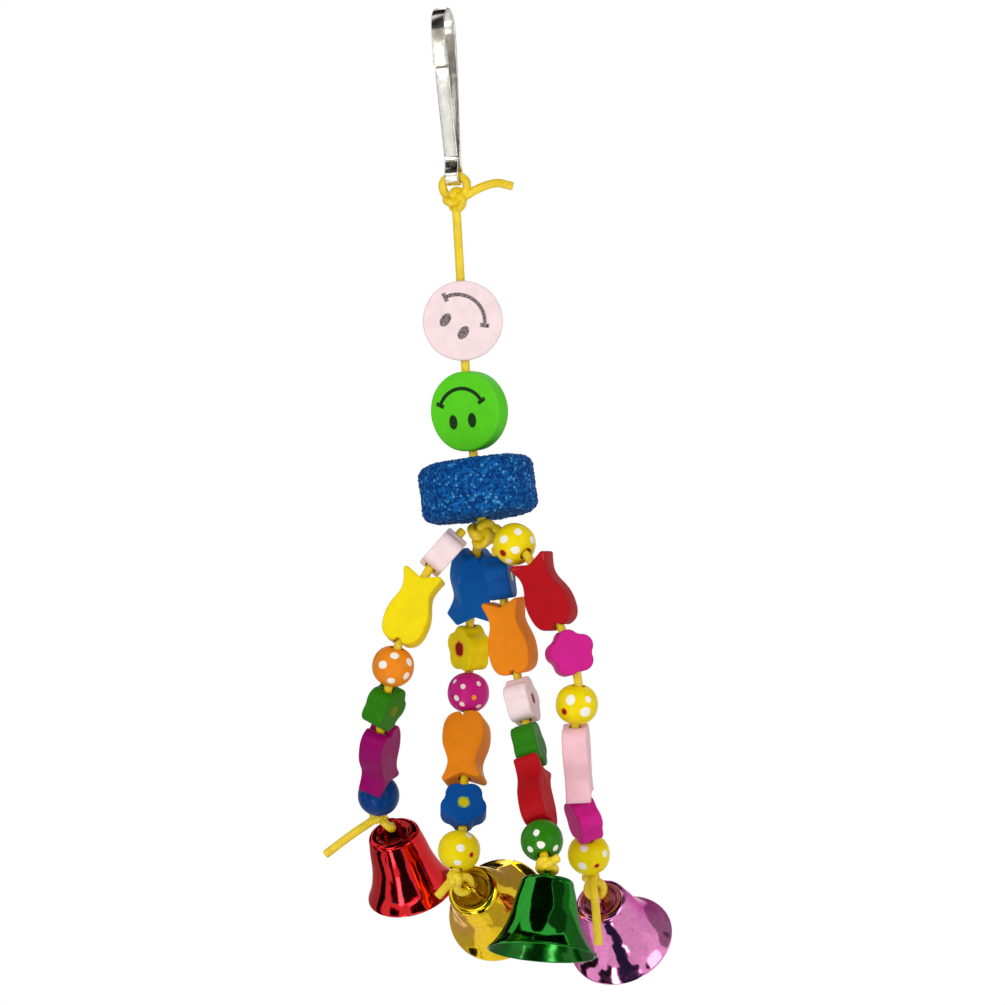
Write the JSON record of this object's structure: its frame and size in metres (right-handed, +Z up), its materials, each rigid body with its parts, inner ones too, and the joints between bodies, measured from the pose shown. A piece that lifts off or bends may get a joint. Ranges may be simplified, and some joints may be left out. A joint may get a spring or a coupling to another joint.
{
  "type": "parrot chew toy",
  "caption": "Hanging parrot toy: a spring hook and knotted cord carry wooden discs, a grit block and strands of painted fish, flower and round beads, each ending in a bell.",
  "frame": {"origin": "inside of the hook's crown, where it rests on a cage bar", "axes": "+Z up along the hanging cord, +X to the right seen from the front, +Y to the back"},
  "size_m": [0.0858, 0.0915, 0.247],
  "materials": {
    "nickel": "bright nickel plate",
    "wire": "plain steel wire",
    "cord": "twisted cotton cord",
    "paint_pink": "painted satin",
    "paint_rose": "painted satin",
    "paint_green": "painted satin",
    "paint_bright_green": "painted satin",
    "paint_blue": "painted satin",
    "paint_yellow": "painted satin",
    "paint_orange": "painted satin",
    "paint_red": "painted satin",
    "paint_magenta": "painted satin",
    "grit": "coarse grain",
    "bell_red": "clear coloured lacquer on bright metal",
    "bell_gold": "bright",
    "bell_green": "clear coloured lacquer on bright metal",
    "bell_mauve": "clear coloured lacquer on bright metal"
  },
  "bodies": {
    "hook": {"hook_frame": "nickel"},
    "gate": {"hook_gate": "nickel"},
    "drop_line": {"top_tie": "cord", "main_cord": "cord", "gather_knot": "cord"},
    "red_strand": {"red_strand_cord": "cord", "red_strand_tie": "cord"},
    "gold_strand": {"gold_strand_cord": "cord", "gold_strand_tie": "cord"},
    "green_strand": {"green_strand_cord": "cord", "green_strand_tie": "cord"},
    "mauve_strand": {"mauve_strand_cord": "cord", "mauve_strand_tie": "cord"},
    "red_bell": {"red_bell": "bell_red", "red_bell_staple": "bell_red"},
    "gold_bell": {"gold_bell": "bell_gold", "gold_bell_staple": "bell_gold"},
    "green_bell": {"green_bell": "bell_green", "green_bell_staple": "bell_green"},
    "mauve_bell": {"mauve_bell": "bell_mauve", "mauve_bell_staple": "bell_mauve"},
    "red_clapper": {"red_bell_clapper": "wire"},
    "gold_clapper": {"gold_bell_clapper": "wire"},
    "green_clapper": {"green_bell_clapper": "wire"},
    "mauve_clapper": {"mauve_bell_clapper": "wire"},
    "pink_disc": {"pink_disc": "paint_pink"},
    "green_disc": {"green_disc": "paint_bright_green"},
    "grit_block": {"grit_block": "grit"},
    "red_strand_pink_flower": {"red_strand_pink_flower": "paint_pink"},
    "red_strand_yellow_fish": {"red_strand_yellow_fish": "paint_yellow"},
    "red_strand_orange_bead": {"red_strand_orange_bead": "paint_orange"},
    "red_strand_green_flower": {"red_strand_green_flower": "paint_green"},
    "red_strand_magenta_fish": {"red_strand_magenta_fish": "paint_magenta"},
    "red_strand_blue_bead": {"red_strand_blue_bead": "paint_blue"},
    "gold_strand_blue_fish": {"gold_strand_blue_fish": "paint_blue"},
    "gold_strand_yellow_flower": {"gold_strand_yellow_flower": "paint_yellow"},
    "gold_strand_magenta_bead": {"gold_strand_magenta_bead": "paint_magenta"},
    "gold_strand_orange_fish": {"gold_strand_orange_fish": "paint_orange"},
    "gold_strand_blue_flower": {"gold_strand_blue_flower": "paint_blue"},
    "gold_strand_yellow_bead": {"gold_strand_yellow_bead": "paint_yellow"},
    "green_strand_blue_flower": {"green_strand_blue_flower": "paint_blue"},
    "green_strand_orange_fish": {"green_strand_orange_fish": "paint_orange"},
    "green_strand_pink_flower": {"green_strand_pink_flower": "paint_pink"},
    "green_strand_green_flower": {"green_strand_green_flower": "paint_green"},
    "green_strand_red_fish": {"green_strand_red_fish": "paint_red"},
    "green_strand_green_bead": {"green_strand_green_bead": "paint_green"},
    "mauve_strand_yellow_top_bead": {"mauve_strand_yellow_top_bead": "paint_yellow"},
    "mauve_strand_red_fish": {"mauve_strand_red_fish": "paint_red"},
    "mauve_strand_magenta_flower": {"mauve_strand_magenta_flower": "paint_magenta"},
    "mauve_strand_yellow_bead": {"mauve_strand_yellow_bead": "paint_yellow"},
    "mauve_strand_rose_fish": {"mauve_strand_rose_fish": "paint_rose"},
    "mauve_strand_magenta_edge_flower": {"mauve_strand_magenta_edge_flower": "paint_magenta"},
    "mauve_strand_yellow_low_bead": {"mauve_strand_yellow_low_bead": "paint_yellow"}
  },
  "joints": [
    {"name": "gate_flex", "type": "hinge", "parent": "hook", "child": "gate", "pos_m": [-0.00039, -0.00145, -0.0362], "axis": [-0.9659, 0.2588, 0], "range_deg": [0, 15], "stiffness_Nm_per_rad": 0.05},
    {"name": "toy_swing", "type": "hinge", "parent": "hook", "child": "drop_line", "pos_m": [0, 0, -0.0406], "axis": [0.9659, -0.2588, 0], "range_deg": [-35, 35]},
    {"name": "red_strand_swing", "type": "hinge", "parent": "drop_line", "child": "red_strand", "pos_m": [-0.00443, -0.00187, -0.12981], "axis": [-0.0995, 0.995, 0], "range_deg": [0, 22]},
    {"name": "gold_strand_swing", "type": "hinge", "parent": "drop_line", "child": "gold_strand", "pos_m": [-0.00072, 0.00341, -0.13207], "axis": [0.9929, -0.1191, 0], "range_deg": [0, 25]},
    {"name": "green_strand_swing", "type": "hinge", "parent": "drop_line", "child": "green_strand", "pos_m": [0.00352, -0.00291, -0.13466], "axis": [-0.3162, 0.9487, 0], "range_deg": [0, 25]},
    {"name": "mauve_strand_swing", "type": "hinge", "parent": "drop_line", "child": "mauve_strand", "pos_m": [0.00398, -0.00494, -0.12962], "axis": [-0.4061, -0.9138, 0], "range_deg": [0, 25]},
    {"name": "red_bell_swing", "type": "hinge", "parent": "red_strand", "child": "red_bell", "pos_m": [-0.02783, 0.02394, -0.20281], "axis": [-0.2761, 0.828, 0.4881], "range_deg": [-25, 25]},
    {"name": "gold_bell_swing", "type": "hinge", "parent": "gold_strand", "child": "gold_bell", "pos_m": [-0.00926, -0.00177, -0.21889], "axis": [0.5768, 0.0797, 0.813], "range_deg": [-30, 12]},
    {"name": "green_bell_swing", "type": "hinge", "parent": "green_strand", "child": "green_bell", "pos_m": [0.01073, -0.02996, -0.21542], "axis": [-0.9736, 0.1995, 0.1113], "range_deg": [-25, 10]},
    {"name": "mauve_bell_swing", "type": "hinge", "parent": "mauve_strand", "child": "mauve_bell", "pos_m": [0.02278, 0.00512, -0.22353], "axis": [0.9548, -0.0957, 0.2814], "range_deg": [-15, 30]},
    {"name": "red_clapper_swing", "type": "hinge", "parent": "red_bell", "child": "red_clapper", "pos_m": [-0.02672, 0.02713, -0.20759], "axis": [0.9424, 0.1336, 0.3066], "range_deg": [-24, 24]},
    {"name": "gold_clapper_swing", "type": "hinge", "parent": "gold_bell", "child": "gold_clapper", "pos_m": [-0.00728, 0.0034, -0.2208], "axis": [0.7438, -0.4627, -0.4824], "range_deg": [-24, 24]},
    {"name": "green_clapper_swing", "type": "hinge", "parent": "green_bell", "child": "green_clapper", "pos_m": [0.00983, -0.03117, -0.22107], "axis": [0.1697, 0.9576, -0.2329], "range_deg": [-24, 24]},
    {"name": "mauve_clapper_swing", "type": "hinge", "parent": "mauve_bell", "child": "mauve_clapper", "pos_m": [0.02425, 0.0096, -0.22699], "axis": [0.1589, -0.6356, -0.7555], "range_deg": [-24, 24]},
    {"name": "pink_disc_spin", "type": "hinge", "parent": "drop_line", "child": "pink_disc", "pos_m": [-0.00047, 0, -0.0774], "axis": [0.0175, 0, 0.9998], "continuous": true},
    {"name": "green_disc_spin", "type": "hinge", "parent": "drop_line", "child": "green_disc", "pos_m": [-0.00047, 0, -0.10004], "axis": [-0.0175, 0, 0.9998], "continuous": true},
    {"name": "grit_block_spin", "type": "hinge", "parent": "drop_line", "child": "grit_block", "pos_m": [0.00016, -0.00074, -0.11965], "axis": [-0.0521, 0.0872, 0.9948], "continuous": true},
    {"name": "red_strand_pink_flower_spin", "type": "hinge", "parent": "red_strand", "child": "red_strand_pink_flower", "pos_m": [-0.00957, -0.00418, -0.13477], "axis": [0.6841, 0.309, 0.6607], "continuous": true},
    {"name": "red_strand_yellow_fish_spin", "type": "hinge", "parent": "red_strand", "child": "red_strand_yellow_fish", "pos_m": [-0.01835, -0.00766, -0.14807], "axis": [-0.4185, -0.1392, -0.8975], "continuous": true},
    {"name": "red_strand_orange_bead_spin", "type": "hinge", "parent": "red_strand", "child": "red_strand_orange_bead", "pos_m": [-0.02409, -0.00793, -0.16214], "axis": [0.286, -0.2079, 0.9354], "continuous": true},
    {"name": "red_strand_green_flower_spin", "type": "hinge", "parent": "red_strand", "child": "red_strand_green_flower", "pos_m": [-0.02702, -0.00354, -0.17202], "axis": [-0.2312, 0.5446, -0.8062], "continuous": true},
    {"name": "red_strand_magenta_fish_spin", "type": "hinge", "parent": "red_strand", "child": "red_strand_magenta_fish", "pos_m": [-0.02929, 0.00675, -0.18446], "axis": [0.0764, -0.682, 0.7273], "continuous": true},
    {"name": "red_strand_blue_bead_spin", "type": "hinge", "parent": "red_strand", "child": "red_strand_blue_bead", "pos_m": [-0.03034, 0.01615, -0.19449], "axis": [0.0764, -0.682, 0.7273], "continuous": true},
    {"name": "gold_strand_blue_fish_spin", "type": "hinge", "parent": "gold_strand", "child": "gold_strand_blue_fish", "pos_m": [-0.00274, 0.00911, -0.14357], "axis": [0.1561, -0.4384, 0.8851], "continuous": true},
    {"name": "gold_strand_yellow_flower_spin", "type": "hinge", "parent": "gold_strand", "child": "gold_strand_yellow_flower", "pos_m": [-0.00488, 0.01434, -0.15932], "axis": [0.0863, -0.1392, 0.9865], "continuous": true},
    {"name": "gold_strand_magenta_bead_spin", "type": "hinge", "parent": "gold_strand", "child": "gold_strand_magenta_bead", "pos_m": [-0.00594, 0.01424, -0.17041], "axis": [0.1029, 0.1736, 0.9794], "continuous": true},
    {"name": "gold_strand_orange_fish_spin", "type": "hinge", "parent": "gold_strand", "child": "gold_strand_orange_fish", "pos_m": [-0.00756, 0.009, -0.18439], "axis": [0.1095, 0.4384, 0.8921], "continuous": true},
    {"name": "gold_strand_blue_flower_spin", "type": "hinge", "parent": "gold_strand", "child": "gold_strand_blue_flower", "pos_m": [-0.00921, 0.00199, -0.19866], "axis": [-0.094, -0.4384, -0.8939], "continuous": true},
    {"name": "gold_strand_yellow_bead_spin", "type": "hinge", "parent": "gold_strand", "child": "gold_strand_yellow_bead", "pos_m": [-0.01103, -0.00229, -0.20932], "axis": [0.2326, 0.2756, 0.9327], "continuous": true},
    {"name": "green_strand_blue_flower_spin", "type": "hinge", "parent": "green_strand", "child": "green_strand_blue_flower", "pos_m": [0.00417, -0.00304, -0.14213], "axis": [-0.0871, 0.0175, 0.996], "continuous": true},
    {"name": "green_strand_orange_fish_spin", "type": "hinge", "parent": "green_strand", "child": "green_strand_orange_fish", "pos_m": [0.00563, -0.0033, -0.15703], "axis": [0.1045, -0.0175, -0.9944], "continuous": true},
    {"name": "green_strand_pink_flower_spin", "type": "hinge", "parent": "green_strand", "child": "green_strand_pink_flower", "pos_m": [0.00733, -0.00553, -0.17322], "axis": [-0.0994, 0.309, 0.9458], "continuous": true},
    {"name": "green_strand_green_flower_spin", "type": "hinge", "parent": "green_strand", "child": "green_strand_green_flower", "pos_m": [0.0083, -0.01091, -0.18426], "axis": [-0.0585, 0.5446, 0.8366], "continuous": true},
    {"name": "green_strand_red_fish_spin", "type": "hinge", "parent": "green_strand", "child": "green_strand_red_fish", "pos_m": [0.00903, -0.02022, -0.19651], "axis": [0.0401, -0.6428, -0.765], "continuous": true},
    {"name": "green_strand_green_bead_spin", "type": "hinge", "parent": "green_strand", "child": "green_strand_green_bead", "pos_m": [0.00968, -0.02964, -0.20759], "axis": [-0.0526, 0.6561, 0.7529], "continuous": true},
    {"name": "mauve_strand_yellow_top_bead_spin", "type": "hinge", "parent": "mauve_strand", "child": "mauve_strand_yellow_top_bead", "pos_m": [0.00832, -0.00975, -0.13396], "axis": [-0.5572, 0.6157, 0.5572], "continuous": true},
    {"name": "mauve_strand_red_fish_spin", "type": "hinge", "parent": "mauve_strand", "child": "mauve_strand_red_fish", "pos_m": [0.01515, -0.01534, -0.14658], "axis": [0.3368, -0.1736, -0.9254], "continuous": true},
    {"name": "mauve_strand_magenta_flower_spin", "type": "hinge", "parent": "mauve_strand", "child": "mauve_strand_magenta_flower", "pos_m": [0.02015, -0.01704, -0.16198], "axis": [-0.2588, 0, 0.9659], "continuous": true},
    {"name": "mauve_strand_yellow_bead_spin", "type": "hinge", "parent": "mauve_strand", "child": "mauve_strand_yellow_bead", "pos_m": [0.02087, -0.01583, -0.17482], "axis": [0.1705, -0.1908, 0.9667], "continuous": true},
    {"name": "mauve_strand_rose_fish_spin", "type": "hinge", "parent": "mauve_strand", "child": "mauve_strand_rose_fish", "pos_m": [0.01998, -0.01182, -0.18916], "axis": [0, -0.309, 0.9511], "continuous": true},
    {"name": "mauve_strand_magenta_edge_flower_spin", "type": "hinge", "parent": "mauve_strand", "child": "mauve_strand_magenta_edge_flower", "pos_m": [0.0206, -0.0056, -0.20367], "axis": [-0.0905, -0.5, 0.8613], "continuous": true},
    {"name": "mauve_strand_yellow_low_bead_spin", "type": "hinge", "parent": "mauve_strand", "child": "mauve_strand_yellow_low_bead", "pos_m": [0.02119, 0.00027, -0.21273], "axis": [-0.0141, -0.5878, 0.8089], "continuous": true}
  ]
}
